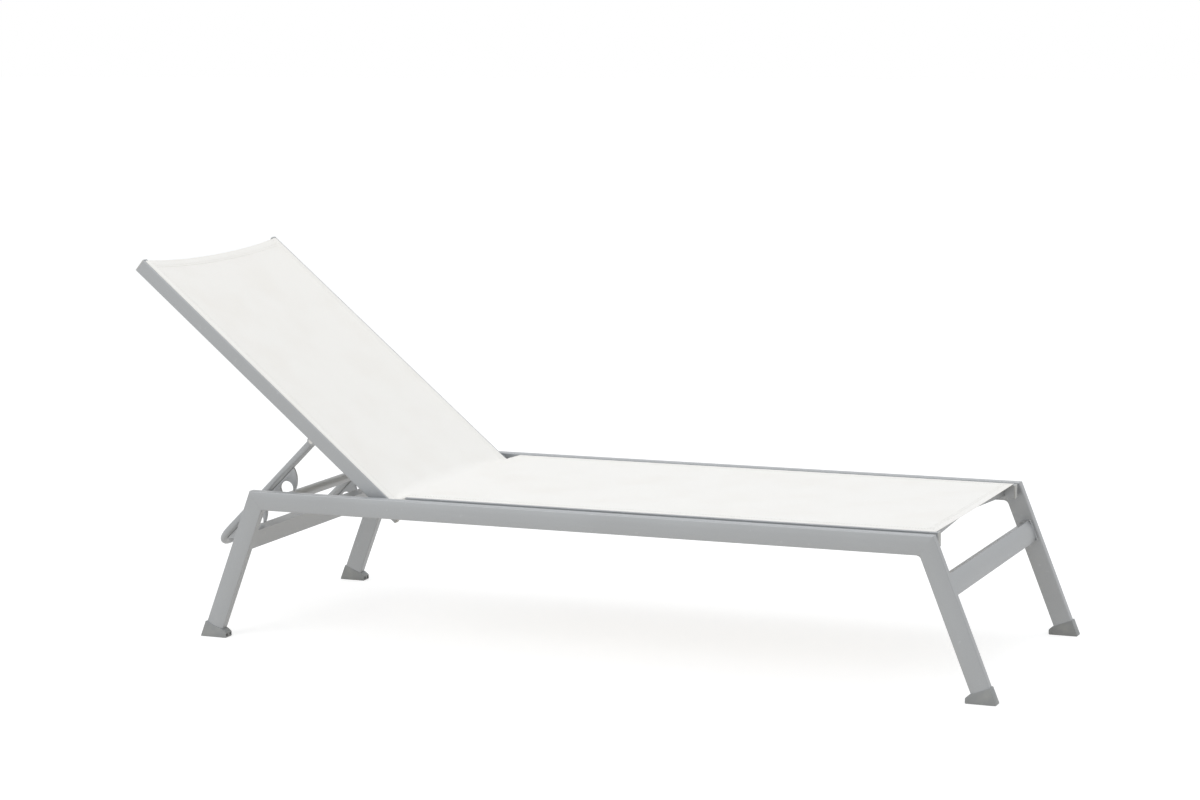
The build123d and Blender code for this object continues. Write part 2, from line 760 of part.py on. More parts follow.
# Hook plates: a row of crescent claws on a strip along each arm's underside. Each claw
# curls round its notch as far as the mouth, so the back is raised a little to free the bar.
hook_runs = [notch_run + hook_pitch * k for k in range(-hooks_before, hooks_after + 1)]
mouth_rise = sqrt(notch_radius ** 2 - claw_mouth_run ** 2)
for side_name, side in sides.items():
    with BuildPart() as hook_plate:
        near = bail_arm_y - hook_plate_thickness / 2
        far = bail_arm_y + hook_plate_thickness / 2
        with BuildSketch(bail_plane(start_y(side, near, far))):
            root = bail_tube_radius
            crest = root + hook_strip_height
            first = hook_runs[0] - claw_root_run
            last = hook_runs[-1] + hook_tail_run
            with BuildLine():
                Polyline(
                    (first, root),
                    (last, root),
                    (hook_runs[-1] + notch_radius, root + hook_tail_rise),
                    (hook_runs[-1], crest),
                    (hook_runs[0] - notch_radius, crest),
                    close=True,
                )
            make_face()
            for run in hook_runs:
                with BuildLine():
                    heel = (run - claw_root_run, root)
                    bulge = (run - claw_bulge_run, hook_row + claw_bulge_rise)
                    tip = (run - claw_tip_run, hook_row + claw_tip_rise)
                    mouth = (run - claw_mouth_run, hook_row + mouth_rise)
                    nose_x = (tip[0] + mouth[0]) / 2 + claw_tip_round
                    nose_y = (tip[1] + mouth[1]) / 2 + claw_tip_round
                    Polyline(mouth, (run - claw_mouth_run, root), heel)
                    ThreePointArc(heel, bulge, tip)
                    ThreePointArc(tip, (nose_x, nose_y), mouth)
                make_face()
            with Locations(*[(run, hook_row) for run in hook_runs]):
                Circle(notch_radius, mode=Mode.SUBTRACT)
        extrude(amount=hook_plate_thickness)
    hand_over(hook_plate, f"hook_plate_{side_name}")

# Sling: a flat sheet of woven mesh whose hems loop round splines in the rail channels
sheet_low = half_rail
sheet_high = half_rail + sling_thickness
sheet_y = rail_inner_y - sling_flat_margin
hem_y = slot_y + sling_thickness / 2
seat_sling_foot = seat_rail_foot - cap_thickness - sling_edge_margin
seat_sling_length = seat_sling_foot + seat_rail_head
back_sling_top = back_length - cap_thickness - sling_edge_margin
back_sling_length = back_sling_top + back_sling_start


def sheet_section(rise, sag):
    """Cross-section of the sling between its hems, which hangs a little in the middle."""
    with BuildSketch() as section:
        with BuildLine():
            low = rise
            high = rise + sling_thickness
            ThreePointArc((-sheet_y, high), (0, high - sag), (sheet_y, high))
            Line((sheet_y, high), (sheet_y, low))
            ThreePointArc((sheet_y, low), (0, low - sag), (-sheet_y, low))
            Line((-sheet_y, low), (-sheet_y, high))
        make_face()
    return section.sketch


def hem_section(side):
    """Hem: the sheet over the rail's top, a tongue through the slot and a loop."""
    with BuildSketch() as section:
        with Locations((side * (sheet_y + hem_y) / 2, (sheet_low + sheet_high) / 2)):
            Rectangle(hem_y - sheet_y, sling_thickness)
        with Locations((side * slot_y, (channel_z + sheet_high) / 2)):
            Rectangle(sling_thickness, sheet_high - channel_z)
        with Locations((side * channel_y, channel_z)):
            Circle(hem_loop_radius)
            Circle(spline_radius + running_fit, mode=Mode.SUBTRACT)
    return section.sketch


def spline_section(side):
    """Round plastic spline inside a hem."""
    with BuildSketch() as section:
        with Locations((side * channel_y, channel_z)):
            Circle(spline_radius)
    return section.sketch


hems = [hem_section(side) for side in sides.values()]
splines = [spline_section(side) for side in sides.values()]
seat_stations = [seat_sling_foot - share * seat_sling_length for share in seat_station_shares]
seat_sheets = [sheet_section(sheet_low, share * seat_sag) for share in seat_sag_shares]
back_stations = [share * back_sling_length - back_sling_start for share in back_station_shares]
back_sheets = [sheet_section(sheet_low, share * back_sag) for share in back_sag_shares]

# The seat's sheet runs on past the rails' head end to meet the foot of the back's sheet
bridge_end, bridge_z = back_point(-back_sling_start, -half_rail - sling_thickness)
bridge_rise = bridge_z + bridge_gap * back_sin / back_cos - sling_thickness - rail_centre_z
bridge_sag = back_sag_shares[0] * back_sag
bridge_sheet = sheet_section(bridge_rise, bridge_sag)
hem_start = cap_thickness - seat_rail_head

with BuildPart() as seat_sling:
    for x, sheet in zip(seat_stations, seat_sheets):
        with BuildSketch(seat_section(x)):
            add(sheet)
    loft()
    with BuildSketch(seat_section(seat_stations[-1])):
        add(seat_sheets[-1])
    with BuildSketch(seat_section(bridge_end + bridge_gap - frame_middle)):
        add(bridge_sheet)
    loft(ruled=True)
    with BuildSketch(seat_section(hem_start)):
        add(hems)
    extrude(amount=seat_sling_foot - hem_start)
hand_over(seat_sling, "seat_sling")

with BuildPart() as seat_splines:
    with BuildSketch(seat_section(hem_start)):
        add(splines)
    extrude(amount=seat_sling_foot - hem_start)
hand_over(seat_splines, "seat_splines")

hem_curve_plane = Plane(
    origin=(hinge_x, 0, rail_centre_z),
    x_dir=(0, 1, 0),
    z_dir=(back_sin, 0, back_cos),
)
with BuildPart() as back_sling:
    for along, sheet in zip(back_stations, back_sheets):
        with BuildSketch(back_section(along)):
            add(sheet)
    loft()
    with BuildSketch(hem_curve_plane):
        with BuildLine():
            past_top = back_sling_top + overrun
            corner_left = (-sheet_y, back_sling_top)
            corner_right = (sheet_y, back_sling_top)
            ThreePointArc(corner_left, (0, back_sling_top - hem_dip), corner_right)
            Polyline(corner_right, (sheet_y, past_top), (-sheet_y, past_top), corner_left)
        make_face()
    extrude(amount=rail_height, mode=Mode.SUBTRACT)
    with BuildSketch(back_section(back_sling_top)):
        add(hems)
    extrude(amount=back_sling_length)
hand_over(back_sling, "back_sling")

with BuildPart() as back_splines:
    with BuildSketch(back_section(back_sling_top)):
        add(splines)
    extrude(amount=back_sling_length)
hand_over(back_splines, "back_splines")
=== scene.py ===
# %% [markdown]
# # An adjustable sun lounger, dressed for its portrait
#
# The frame of this lounger comes from CAD: side frames, rails, hinges and the hooked bail
# arrive at their real size, already in place. What is left to make here is what the eye
# reads as finish: the woven sling with its stitched hems, the powder coat, the moulded
# glides and the weld beads. The work goes from the camera to the light, then through the
# materials, and then piece by piece. Everything is in metres.

# %% Load the frame
import bisect
import json
import math
import bpy
from mathutils import Matrix, Vector


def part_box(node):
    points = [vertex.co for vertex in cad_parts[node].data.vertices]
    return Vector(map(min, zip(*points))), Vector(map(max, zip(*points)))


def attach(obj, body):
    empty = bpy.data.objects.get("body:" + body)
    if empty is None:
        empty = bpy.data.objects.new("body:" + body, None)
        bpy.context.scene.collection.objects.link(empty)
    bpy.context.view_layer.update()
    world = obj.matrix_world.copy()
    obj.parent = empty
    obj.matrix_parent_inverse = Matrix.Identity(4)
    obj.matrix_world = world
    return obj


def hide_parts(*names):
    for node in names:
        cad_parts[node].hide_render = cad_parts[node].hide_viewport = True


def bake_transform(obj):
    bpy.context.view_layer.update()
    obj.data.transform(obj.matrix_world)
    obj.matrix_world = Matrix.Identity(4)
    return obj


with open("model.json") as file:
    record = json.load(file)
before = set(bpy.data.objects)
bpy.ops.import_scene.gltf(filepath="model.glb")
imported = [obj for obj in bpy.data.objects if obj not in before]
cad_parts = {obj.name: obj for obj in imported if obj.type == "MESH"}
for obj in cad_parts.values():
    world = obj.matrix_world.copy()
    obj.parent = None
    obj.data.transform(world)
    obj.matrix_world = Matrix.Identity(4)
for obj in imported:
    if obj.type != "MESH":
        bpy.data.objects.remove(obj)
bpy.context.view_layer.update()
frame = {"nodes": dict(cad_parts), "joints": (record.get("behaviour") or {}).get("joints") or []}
nodes = frame["nodes"]
joints = {joint["name"]: joint for joint in frame["joints"]}
bpy.ops.object.select_all(action="DESELECT")

# %% [markdown]
# ## The camera
#
# The photograph was taken from the lounger's right side, a little round towards the foot,
# about 1.4 m above the floor and with a long lens. Its place, direction and lens were
# worked out once from the straight edges of the frame, and are written here as plain
# values: how far the camera has gone round the lounger, how steeply it looks down, and how
# much it leans.

# %% Camera at the photograph's angle
MM = 0.001
IMAGE_WIDTH = 1200
SENSOR_WIDTH = 36.0
FAR_CLIP = 200
focal_in_pixels = 2934.0
camera_turn = math.radians(23.27)
camera_height_angle = math.radians(8.296)
camera_lean = math.radians(-0.713)
camera_place = Vector((2.4094, -5.6050, 1.3886))


def camera_axes(turn, height, lean):
    """Right, up and backward directions of a camera that goes round the object."""
    back = Vector(
        (math.sin(turn) * math.cos(height), -math.cos(turn) * math.cos(height), math.sin(height))
    )
    right = Vector((math.cos(turn), math.sin(turn), 0))
    up = back.cross(right)
    leant_right = right * math.cos(lean) + up * math.sin(lean)
    leant_up = up * math.cos(lean) - right * math.sin(lean)
    return leant_right, leant_up, back


axes = camera_axes(camera_turn, camera_height_angle, camera_lean)
turned = Matrix(axes).transposed().to_4x4()
bpy.ops.object.camera_add(location=camera_place, rotation=turned.to_euler())
camera = bpy.context.object
camera.name = "portrait_camera"
camera.data.sensor_width = SENSOR_WIDTH
camera.data.lens = focal_in_pixels / IMAGE_WIDTH * SENSOR_WIDTH
camera.data.clip_end = FAR_CLIP
bpy.context.scene.camera = camera
bpy.context.scene.view_settings.view_transform = "Standard"
print("Lens:", round(camera.data.lens, 1), "mm")

# %% [markdown]
# ## Colour and node helpers
#
# Colours are easiest to judge as the hex values of a paint chart, but shaders add light
# up in linear values, so one function turns the first into the second. A second small
# function adds a shader node, sets it and wires it, which keeps each recipe short.

# %% Helpers for materials


def colour(code):
    """Linear colour with alpha from an sRGB hex value such as A8ACAF."""
    channels = [int(code[i : i + 2], 16) / 255 for i in (0, 2, 4)]
    linear = [c / 12.92 if c <= 0.04045 else ((c + 0.055) / 1.055) ** 2.4 for c in channels]
    return (*linear, 1.0)


def add_node(tree, kind, settings=(), **inputs):
    """Add a node, set its properties, and set or wire its inputs by name."""
    made = tree.nodes.new(kind)
    for name, value in dict(settings).items():
        setattr(made, name, value)
    for name, value in inputs.items():
        key = int(name[1:]) if name[0] == "_" and name[1:].isdigit() else name.replace("_", " ")
        socket = made.inputs[key]
        if isinstance(value, bpy.types.NodeSocket):
            tree.links.new(value, socket)
        else:
            socket.default_value = value
    return made


def new_material(name):
    """An empty node material with its output, ready for a shader."""
    material = bpy.data.materials.new(name)
    material.use_nodes = True
    tree = material.node_tree
    tree.nodes.clear()
    return material, tree, tree.nodes.new("ShaderNodeOutputMaterial")


def per_metre(size_mm):
    """Texture scale that gives features of about this size."""
    return 1 / (size_mm * MM)


print("Helpers ready")

# %% [markdown]
# ## The floor
#
# The product stands on a seamless white sweep. A large plane is the floor. Its material
# answers the camera a little brighter than it answers the light, so that the open floor
# goes to white while the shadow under the lounger stays.

# %% Floor
WHITE = (1, 1, 1, 1)
FLOOR_SIZE = 60
CAMERA_GLOW = 0.5
SEEN_WHITE = 1.04
FLOOR_TO_LIGHT = "E6DDCF"
TENT_LIGHT = 0.72
glow_strength = SEEN_WHITE - CAMERA_GLOW * TENT_LIGHT

bpy.ops.mesh.primitive_plane_add(size=FLOOR_SIZE, location=(0, 0, 0))
floor = bpy.context.object
floor.name = "studio_floor"
floor_material, tree, output = new_material("seamless_paper")
path = add_node(tree, "ShaderNodeLightPath")
seen = add_node(
    tree, "ShaderNodeMath", {"operation": "MAXIMUM"},
    _0=path.outputs["Is Camera Ray"], _1=path.outputs["Is Glossy Ray"],
)
paper = add_node(tree, "ShaderNodeBsdfDiffuse", Color=colour(FLOOR_TO_LIGHT))
seen_paper = add_node(tree, "ShaderNodeBsdfDiffuse", Color=(CAMERA_GLOW,) * 3 + (1,))
glow = add_node(tree, "ShaderNodeEmission", Color=WHITE, Strength=glow_strength)
bright = add_node(tree, "ShaderNodeAddShader", _0=seen_paper.outputs[0], _1=glow.outputs[0])
mixed = add_node(
    tree, "ShaderNodeMixShader",
    _0=seen.outputs[0], _1=paper.outputs[0], _2=bright.outputs[0],
)
tree.links.new(mixed.outputs[0], output.inputs["Surface"])
floor.data.materials.append(floor_material)
print("Floor:", FLOOR_SIZE, "m across, in", floor_material.name)

# %% [markdown]
# ## The light
#
# The world is an even white tent, a little cool where it lights the lounger and plain
# white where the camera or a shiny surface sees it. Two soft boxes, one at the front and
# one overhead, give the tubes their highlights.

# %% White tent
TENT_TONE = "F4F7FA"

world = bpy.data.worlds.new("white_tent")
world.use_nodes = True
tree = world.node_tree
tree.nodes.clear()
path = add_node(tree, "ShaderNodeLightPath")
seen = add_node(
    tree, "ShaderNodeMath", {"operation": "MAXIMUM"},
    _0=path.outputs["Is Camera Ray"], _1=path.outputs["Is Glossy Ray"],
)
strength = add_node(
    tree, "ShaderNodeMapRange", _0=seen.outputs[0], _1=0.0, _2=1.0, _3=TENT_LIGHT, _4=1.0
)
tone = add_node(tree, "ShaderNodeMix", {"data_type": "RGBA"}, Factor=seen.outputs[0])
tone.inputs[6].default_value = colour(TENT_TONE)
tone.inputs[7].default_value = WHITE
tent = add_node(tree, "ShaderNodeBackground", Color=tone.outputs[2], Strength=strength.outputs[0])
add_node(tree, "ShaderNodeOutputWorld", Surface=tent.outputs[0])
bpy.context.scene.world = world
print("World:", world.name)

# %% Soft boxes
LAMP_TARGET = Vector((0, 0, 0.3))
SOFT_BOXES = (
    ("key_box", (-1.6, -3.4, 3.2), 2.4, 52),
    ("top_box", (0.9, 0.4, 3.6), 2.6, 29),
)
for name, place, size, watts in SOFT_BOXES:
    aim = (LAMP_TARGET - Vector(place)).to_track_quat("-Z", "Y").to_euler()
    bpy.ops.object.light_add(type="AREA", location=place, rotation=aim)
    lamp = bpy.context.object
    lamp.name = name
    lamp.data.shape = "SQUARE"
    lamp.data.size = size
    lamp.data.energy = watts
print("Studio lit by", len(SOFT_BOXES), "soft boxes and a white tent")

# %% [markdown]
# ## Powder coat on aluminium
#
# The tubes are extruded aluminium with a baked silver powder coat. Powder melts into a
# film with a faint orange-peel skin, and the metal flake in it gives a soft, satin shine
# with no grain direction. So the recipe is a partly metallic base with specks of flake, a
# bump of under a millimetre across, a broad drift in tone and a few pale rub marks.

# %% Powder coat
COAT_TONE = "ADB0B3"
COAT_DARKER = "A5A7A9"
COAT_RUBBED = "BDC0C2"
COAT_METAL = 0.35
COAT_SMOOTHEST = 0.36
COAT_ROUGHEST = 0.44
PEEL_MM = 0.7
PEEL_HEIGHT = 0.08 * MM
FLAKE_MM = 0.35
FLAKE_DIMMEST = 0.94
FLAKE_BRIGHTEST = 1.06
DRIFT_MM = 180
RUB_MM = 14
RUB_STARTS = 0.66
RUB_FULL = 0.74
RUB_SHARE = 0.5
NOISE_LOW = 0.3
NOISE_HIGH = 0.7


def powder_coat(name, tone, darker, rubbed):
    """Satin silver powder coat, with orange peel, flake, drift and small rub marks."""
    material, tree, output = new_material(name)
    place = add_node(tree, "ShaderNodeTexCoord").outputs["Object"]
    drift = add_node(
        tree, "ShaderNodeTexNoise", Vector=place, Scale=per_metre(DRIFT_MM), Detail=2.0
    )
    flake = add_node(
        tree, "ShaderNodeTexNoise", Vector=place, Scale=per_metre(FLAKE_MM), Detail=1.0
    )
    rub = add_node(tree, "ShaderNodeTexNoise", Vector=place, Scale=per_metre(RUB_MM), Detail=6.0)
    rub_share = add_node(
        tree, "ShaderNodeMapRange",
        _0=rub.outputs["Fac"], _1=RUB_STARTS, _2=RUB_FULL, _3=0.0, _4=RUB_SHARE,
    )
    tint = add_node(tree, "ShaderNodeMix", {"data_type": "RGBA"})
    tree.links.new(drift.outputs["Fac"], tint.inputs["Factor"])
    tint.inputs[6].default_value = colour(darker)
    tint.inputs[7].default_value = colour(tone)
    speck = add_node(
        tree, "ShaderNodeMapRange",
        _0=flake.outputs["Fac"], _1=NOISE_LOW, _2=NOISE_HIGH, _3=FLAKE_DIMMEST, _4=FLAKE_BRIGHTEST,
    )
    speckled = add_node(tree, "ShaderNodeVectorMath", {"operation": "SCALE"})
    tree.links.new(tint.outputs[2], speckled.inputs[0])
    tree.links.new(speck.outputs[0], speckled.inputs["Scale"])
    worn = add_node(tree, "ShaderNodeMix", {"data_type": "RGBA"})
    tree.links.new(rub_share.outputs[0], worn.inputs["Factor"])
    tree.links.new(speckled.outputs[0], worn.inputs[6])
    worn.inputs[7].default_value = colour(rubbed)
    peel = add_node(tree, "ShaderNodeTexNoise", Vector=place, Scale=per_metre(PEEL_MM), Detail=2.0)
    rough = add_node(
        tree, "ShaderNodeMapRange",
        _0=drift.outputs["Fac"], _1=NOISE_LOW, _2=NOISE_HIGH, _3=COAT_SMOOTHEST, _4=COAT_ROUGHEST,
    )
    bump = add_node(
        tree, "ShaderNodeBump", Height=peel.outputs["Fac"], Strength=0.25, Distance=PEEL_HEIGHT
    )
    shader = add_node(
        tree, "ShaderNodeBsdfPrincipled", Base_Color=worn.outputs[2], Metallic=COAT_METAL,
        Roughness=rough.outputs[0], Normal=bump.outputs[0],
    )
    tree.links.new(shader.outputs[0], output.inputs["Surface"])
    return material


silver_coat = powder_coat("silver_powder_coat", COAT_TONE, COAT_DARKER, COAT_RUBBED)
print("Made", silver_coat.name)

# %% [markdown]
# ## Moulded plastics
#
# Glides and caps are injection-moulded polypropylene. The mould is spark-eroded, which
# leaves a fine matt grain, and glides pick up dust near the ground. The nylon of the
# bushes and splines is whiter and a little waxy, and the spacers' nylon is dyed grey. One
# recipe serves all four, with a grain in the bump and a slow noise for the dust.

# %% Moulded plastics
GRAIN_MM = 0.5
GRAIN_HEIGHT = 0.06 * MM
DUST_MM = 25
DUST_STARTS = 0.45


def moulded_plastic(name, tone, dusty, roughness):
    """Matt moulded plastic with a spark-eroded grain and a little dust."""
    material, tree, output = new_material(name)
    place = add_node(tree, "ShaderNodeTexCoord").outputs["Object"]
    grain = add_node(
        tree, "ShaderNodeTexNoise", Vector=place, Scale=per_metre(GRAIN_MM), Detail=3.0
    )
    dust = add_node(tree, "ShaderNodeTexNoise", Vector=place, Scale=per_metre(DUST_MM), Detail=5.0)
    share = add_node(
        tree, "ShaderNodeMapRange",
        _0=dust.outputs["Fac"], _1=DUST_STARTS, _2=NOISE_HIGH, _3=0.0, _4=1.0,
    )
    tint = add_node(tree, "ShaderNodeMix", {"data_type": "RGBA"})
    tree.links.new(share.outputs[0], tint.inputs["Factor"])
    tint.inputs[6].default_value = colour(tone)
    tint.inputs[7].default_value = colour(dusty)
    bump = add_node(
        tree, "ShaderNodeBump", Height=grain.outputs["Fac"], Strength=0.3, Distance=GRAIN_HEIGHT
    )
    shader = add_node(
        tree, "ShaderNodeBsdfPrincipled", Base_Color=tint.outputs[2],
        Roughness=roughness, Normal=bump.outputs[0],
    )
    tree.links.new(shader.outputs[0], output.inputs["Surface"])
    return material


glide_plastic = moulded_plastic("grey_polypropylene_moulded", "949799", "9FA1A1", 0.55)
cap_plastic = moulded_plastic("pale_grey_polypropylene_moulded", "B9BBBB", "C2C3C2", 0.5)
nylon = moulded_plastic("natural_nylon_turned", "DDDCD5", "D2D0C8", 0.4)
spacer_nylon = moulded_plastic("grey_nylon_moulded", "8E9192", "999B9B", 0.5)
print("Made four plastics")

# %% [markdown]
# ## Stainless steel
#
# Bolts, washers, nuts and clevis pins are turned stainless steel, so fine rings of tool
# marks break up their mirror. A fine noise in the roughness and the bump stands in for
# those marks.

# %% Stainless steel
STEEL_TONE = "C3C1BD"
STEEL_SMOOTHEST = 0.22
STEEL_ROUGHEST = 0.38
TOOL_MARK_MM = 0.8
TOOL_MARK_HEIGHT = 0.03 * MM


def stainless_steel(name):
    """Turned stainless steel with fine, uneven tool marks."""
    material, tree, output = new_material(name)
    place = add_node(tree, "ShaderNodeTexCoord").outputs["Object"]
    marks = add_node(
        tree, "ShaderNodeTexNoise", Vector=place, Scale=per_metre(TOOL_MARK_MM), Detail=4.0
    )
    rough = add_node(
        tree, "ShaderNodeMapRange",
        _0=marks.outputs["Fac"], _1=NOISE_LOW, _2=NOISE_HIGH, _3=STEEL_SMOOTHEST, _4=STEEL_ROUGHEST,
    )
    bump = add_node(
        tree, "ShaderNodeBump",
        Height=marks.outputs["Fac"], Strength=0.15, Distance=TOOL_MARK_HEIGHT,
    )
    shader = add_node(
        tree, "ShaderNodeBsdfPrincipled", Base_Color=colour(STEEL_TONE), Metallic=1.0,
        Roughness=rough.outputs[0], Normal=bump.outputs[0],
    )
    tree.links.new(shader.outputs[0], output.inputs["Surface"])
    return material


steel = stainless_steel("stainless_steel_turned")
print("Made", steel.name)

# %% [markdown]
# ## Finishes for the CAD parts
#
# Each CAD part says in its name what it is, so a word in the name chooses the material.
# Whatever no word matches is powder-coated metal, such as the tubes, rails, braces,
# brackets and hook plates. The two CAD slings get it too, but never show, because the
# cloth made further down replaces them.

# %% Materials onto the CAD nodes
CAD_FINISHES = (
    ("glide", glide_plastic),
    ("caps", cap_plastic),
    ("bushes", nylon),
    ("rail_spacers", spacer_nylon),
    ("hinge_spacers", spacer_nylon),
    ("splines", nylon),
    ("bolts", steel),
    ("nuts", steel),
    ("washers", steel),
    ("pins", steel),
)
for node_name, node in nodes.items():
    finish = next((material for word, material in CAD_FINISHES if word in node_name), silver_coat)
    node.data.materials.clear()
    node.data.materials.append(finish)
print("Finished", len(nodes), "CAD nodes")

# %% [markdown]
# ## The sling's shape
#
# The sling is one piece of vinyl-coated mesh, pulled tight between the rails and running
# on over the hinge from seat to back. Its edges lie on the rails, and its middle hangs a
# few millimetres lower. At the hinge the middle folds less tightly than the edges, in a
# wider arc. The surface is worked out from two side-view lines, one along the rails and
# one down the middle, with a curve between them. First come the places that the lines
# run through, taken from the CAD rails and the hinge.

# %% Places along the rails
RECLINE = math.radians(40.1)
HALF_RAIL = 15 * MM
CLOTH = 0.6 * MM
AIR = 0.05 * MM
LIFT = CLOTH + AIR
CAP_THICKNESS = 2.5 * MM
EDGE_MARGIN = 5.5 * MM
BACK_START = -13.7 * MM
BACK_TOP = 739.5 * MM

hinge = Vector(joints["back_recline"]["pos_m"])
seat_low, seat_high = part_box("seat_rail_right")
seat_top = seat_high.z + LIFT
foot_x = seat_high.x + CAP_THICKNESS - EDGE_MARGIN
head_x = seat_low.x
up_back = Vector((-math.cos(RECLINE), math.sin(RECLINE)))
out_of_back = Vector((math.sin(RECLINE), math.cos(RECLINE)))


def on_back(along, lift):
    """Side-view point on the back: up from the hinge, and out from the rails' middle."""
    return Vector((hinge.x, hinge.z)) + up_back * along + out_of_back * lift


print("Seat from x", round(foot_x, 3), "to", round(head_x, 3), "at z", round(seat_top, 3))

# %% [markdown]
# Straight runs that meet at the hinge would crease the cloth, so one helper rounds a
# corner with an arc. A second helper sets the points of a line at even steps, so that
# both lines get the same number of points and can be joined row by row.

# %% Helpers for side-view lines
TINY = 1e-9


def rounded(corner, before, after, radius, steps):
    """Points along the arc that rounds a corner between two straight runs."""
    into = (corner - before).normalized()
    out = (after - corner).normalized()
    half_turn = into.angle(out) / 2
    start = corner - into * radius * math.tan(half_turn)
    inside = Vector((-into.y, into.x))
    if inside.dot(out) < 0:
        inside = -inside
    centre = start + inside * radius
    angles = [2 * half_turn * step / steps for step in range(steps + 1)]
    return [centre + (into * math.sin(a) - inside * math.cos(a)) * radius for a in angles]


def spread(points, count):
    """The same line as count evenly spaced points."""
    lengths = [0.0]
    for a, b in zip(points, points[1:]):
        lengths.append(lengths[-1] + (b - a).length)
    found = []
    for i in range(count):
        target = lengths[-1] * i / (count - 1)
        k = min(bisect.bisect_left(lengths, target - TINY, 1), len(lengths) - 1)
        share = (target - lengths[k - 1]) / (lengths[k] - lengths[k - 1])
        found.append(points[k - 1].lerp(points[k], share))
    return found


print("Line helpers ready")

# %% [markdown]
# Each line has three zones, the seat, the bend and the back, and rows stand closest in
# the bend, where the cloth turns most.

# %% Side-view lines of the sling
MID_BEND_RADIUS = 60 * MM
EDGE_BEND_RADIUS = 14 * MM
SEAT_SAG = 9 * MM
BACK_SAG = 10 * MM
ARC_STEPS = 12

edge_foot = Vector((foot_x, seat_top))
edge_head = Vector((head_x, seat_top))
edge_back = on_back(BACK_START, HALF_RAIL + LIFT)
edge_top = on_back(BACK_TOP, HALF_RAIL + LIFT)
edge_bend = rounded(edge_head, edge_foot, edge_back, EDGE_BEND_RADIUS, ARC_STEPS)
edge_bend += rounded(edge_back, edge_head, edge_top, EDGE_BEND_RADIUS, ARC_STEPS)

middle_z = seat_top - SEAT_SAG
middle_lift = HALF_RAIL + LIFT - BACK_SAG
run_up = (middle_z - on_back(0, middle_lift).y) / math.sin(RECLINE)
middle_corner = on_back(run_up, middle_lift)
middle_foot = Vector((foot_x, middle_z))
middle_top = on_back(BACK_TOP, middle_lift)
middle_bend = rounded(middle_corner, middle_foot, middle_top, MID_BEND_RADIUS, 2 * ARC_STEPS)

SEAT_ROWS = 112
BEND_ROWS = 36
BACK_ROWS = 76
zones = (
    (SEAT_ROWS, [edge_foot, edge_bend[0]], [middle_foot, middle_bend[0]]),
    (BEND_ROWS, edge_bend, middle_bend),
    (BACK_ROWS, [edge_bend[-1], edge_top], [middle_bend[-1], middle_top]),
)
edge_line, middle_line = [], []
for rows, edge_part, middle_part in zones:
    skip = 1 if edge_line else 0
    edge_line += spread(edge_part, rows)[skip:]
    middle_line += spread(middle_part, rows)[skip:]
edge_run = [0.0]
for a, b in zip(edge_line, edge_line[1:]):
    edge_run.append(edge_run[-1] + (b - a).length)
sling_length = edge_run[-1]
hinge_run = edge_run[SEAT_ROWS + BEND_ROWS // 2]
print("Sling rows:", len(edge_line), "length along the rails:", round(sling_length, 3), "m")

# %% [markdown]
# At its two free ends the sling has less sag, because its hem is doubled there and the
# spreaders pull it straight. The top hem is cut in a shallow curve too. So the middle
# line is eased towards the edge line near the ends before the cloth is spanned between.

# %% Ease the free ends
FOOT_SAG = 1 * MM
TOP_SAG = 8 * MM
TOP_HEM_CURVE = 9.5 * MM
END_EASE = 0.28
TOP_EASE = 0.2


def smooth(share):
    """Ease from 0 to 1."""
    share = min(max(share, 0.0), 1.0)
    return share * share * (3 - 2 * share)


for row, run in enumerate(edge_run):
    near_foot = 1 - smooth(run / END_EASE)
    near_top = 1 - smooth((sling_length - run) / TOP_EASE)
    middle_line[row] = middle_line[row] + Vector((0, SEAT_SAG - FOOT_SAG)) * near_foot
    drawn_in = out_of_back * (BACK_SAG - TOP_SAG) - up_back * TOP_HEM_CURVE
    middle_line[row] = middle_line[row] + drawn_in * near_top

print("Hang at the foot hem:", round((edge_line[0].y - middle_line[0].y) / MM, 1), "mm")

# %% [markdown]
# A stretched sling is never perfectly smooth. Where it turns the corner at the hinge,
# small pulls fan out from each rail. They are set as shallow ridges and hollows, by
# turns, on lines that leave the corner at a few angles and fade with distance. Between
# the two side-view lines the cloth follows a power curve, which is flat in the middle
# and steeper near the rails.

# %% Any point of the cloth
PULL_HEIGHT = 1.3 * MM
PULL_WIDTH = 5 * MM
PULL_START = 0.03
PULL_REACH = 0.16
PULL_ANGLES = (74, 98, 126)
SPAN_POWER = 2.2
rail_low, rail_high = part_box("seat_rail_left")
rail_inner = rail_low.y


def pulls(run, y):
    """Height of the small pulls at the hinge corners."""
    along = run - hinge_run
    inward = rail_inner - abs(y)
    far = math.hypot(along, inward)
    if inward <= 0 or far > PULL_REACH:
        return 0.0
    angle = math.atan2(inward, along)
    height = 0.0
    for i, degrees in enumerate(PULL_ANGLES):
        off_line = (angle - math.radians(degrees)) * far / PULL_WIDTH
        height += math.exp(-off_line * off_line) * (-1) ** i
    return PULL_HEIGHT * height * smooth(far / PULL_START) * (1 - smooth(far / PULL_REACH))


def row_normal(row):
    """Direction out of the cloth at its edge, in the side view."""
    before = edge_line[max(row - 1, 0)]
    after = edge_line[min(row + 1, len(edge_line) - 1)]
    tangent = (after - before).normalized()
    return Vector((tangent.y, 0, -tangent.x))


def cloth_point(row, y):
    """Place of the single cloth's top face at a row and a distance from the middle."""
    share = min(abs(y) / rail_inner, 1.0)
    side = edge_line[row].lerp(middle_line[row], 1 - share**SPAN_POWER)
    return Vector((side.x, y, side.y)) + row_normal(row) * pulls(edge_run[row], y)


